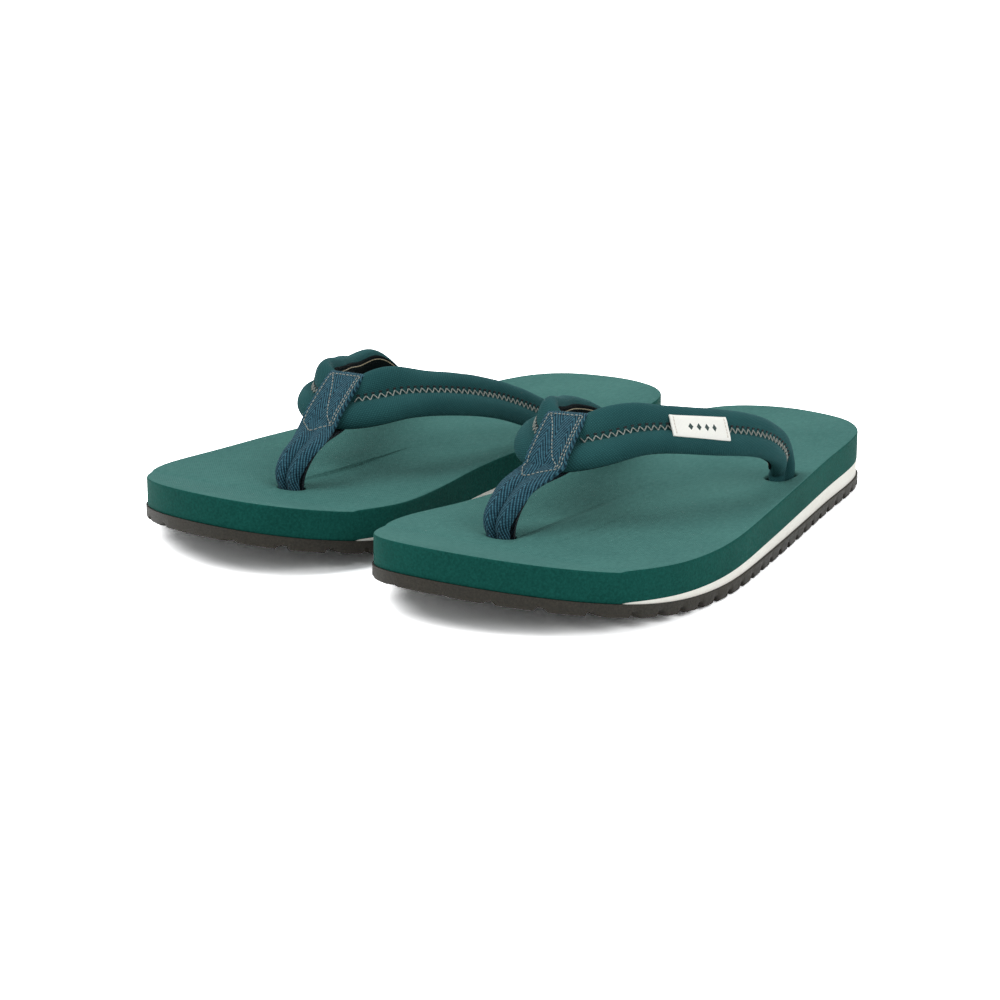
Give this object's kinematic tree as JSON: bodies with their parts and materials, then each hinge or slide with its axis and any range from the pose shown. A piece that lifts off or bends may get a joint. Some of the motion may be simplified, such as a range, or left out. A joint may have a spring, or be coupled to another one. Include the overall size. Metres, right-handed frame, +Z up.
{
  "type": "flip flop",
  "caption": "Pair of thong sandals with foam footbed, cream heel wedge, lugged rubber outsole, padded sewn strap and webbing toe post.",
  "frame": {"origin": "centre of the pair's bounding box at ground level", "axes": "+Z up, toes towards -Y, the left shoe at +X and the right shoe at -X"},
  "size_m": [0.2348, 0.2792, 0.0598],
  "materials": {
    "footbed_foam": "matte grained foam",
    "wedge_foam": "matte foam",
    "outsole_rubber": "matte moulded rubber",
    "knit_cover": "fine knit",
    "lining_fabric": "dull woven lining",
    "padding_foam": "soft open foam",
    "core_tape": "woven tape",
    "sewing_thread": "twisted thread",
    "toe_webbing": "herringbone weave",
    "web_liner": "plain weave",
    "anchor_plastic": "moulded",
    "label_weave": "satin weave"
  },
  "bodies": {
    "left_shoe": {"left_footbed": "footbed_foam", "left_heel_wedge": "wedge_foam", "left_outsole": "outsole_rubber", "left_strap_cover": "knit_cover", "left_strap_lining": "lining_fabric", "left_front_foam_roll": "padding_foam", "left_rear_foam_roll": "padding_foam", "left_core_tape": "core_tape", "left_zigzag_thread": "sewing_thread", "left_toe_webbing": "toe_webbing", "left_toe_web_liner": "web_liner", "left_webbing_thread": "sewing_thread", "left_toe_anchor": "anchor_plastic", "left_outer_side_anchor": "anchor_plastic", "left_inner_side_anchor": "anchor_plastic", "left_label": "label_weave", "left_label_thread": "sewing_thread"},
    "right_shoe": {"right_footbed": "footbed_foam", "right_heel_wedge": "wedge_foam", "right_outsole": "outsole_rubber", "right_strap_cover": "knit_cover", "right_strap_lining": "lining_fabric", "right_front_foam_roll": "padding_foam", "right_rear_foam_roll": "padding_foam", "right_core_tape": "core_tape", "right_zigzag_thread": "sewing_thread", "right_toe_webbing": "toe_webbing", "right_toe_web_liner": "web_liner", "right_webbing_thread": "sewing_thread", "right_toe_anchor": "anchor_plastic", "right_outer_side_anchor": "anchor_plastic", "right_inner_side_anchor": "anchor_plastic", "right_label": "label_weave", "right_label_thread": "sewing_thread"}
  },
  "joints": [
    {"name": "shoe_spacing", "type": "slide", "parent": "left_shoe", "child": "right_shoe", "axis": [-1, 0, 0], "range_m": [0, 0.15]}
  ]
}
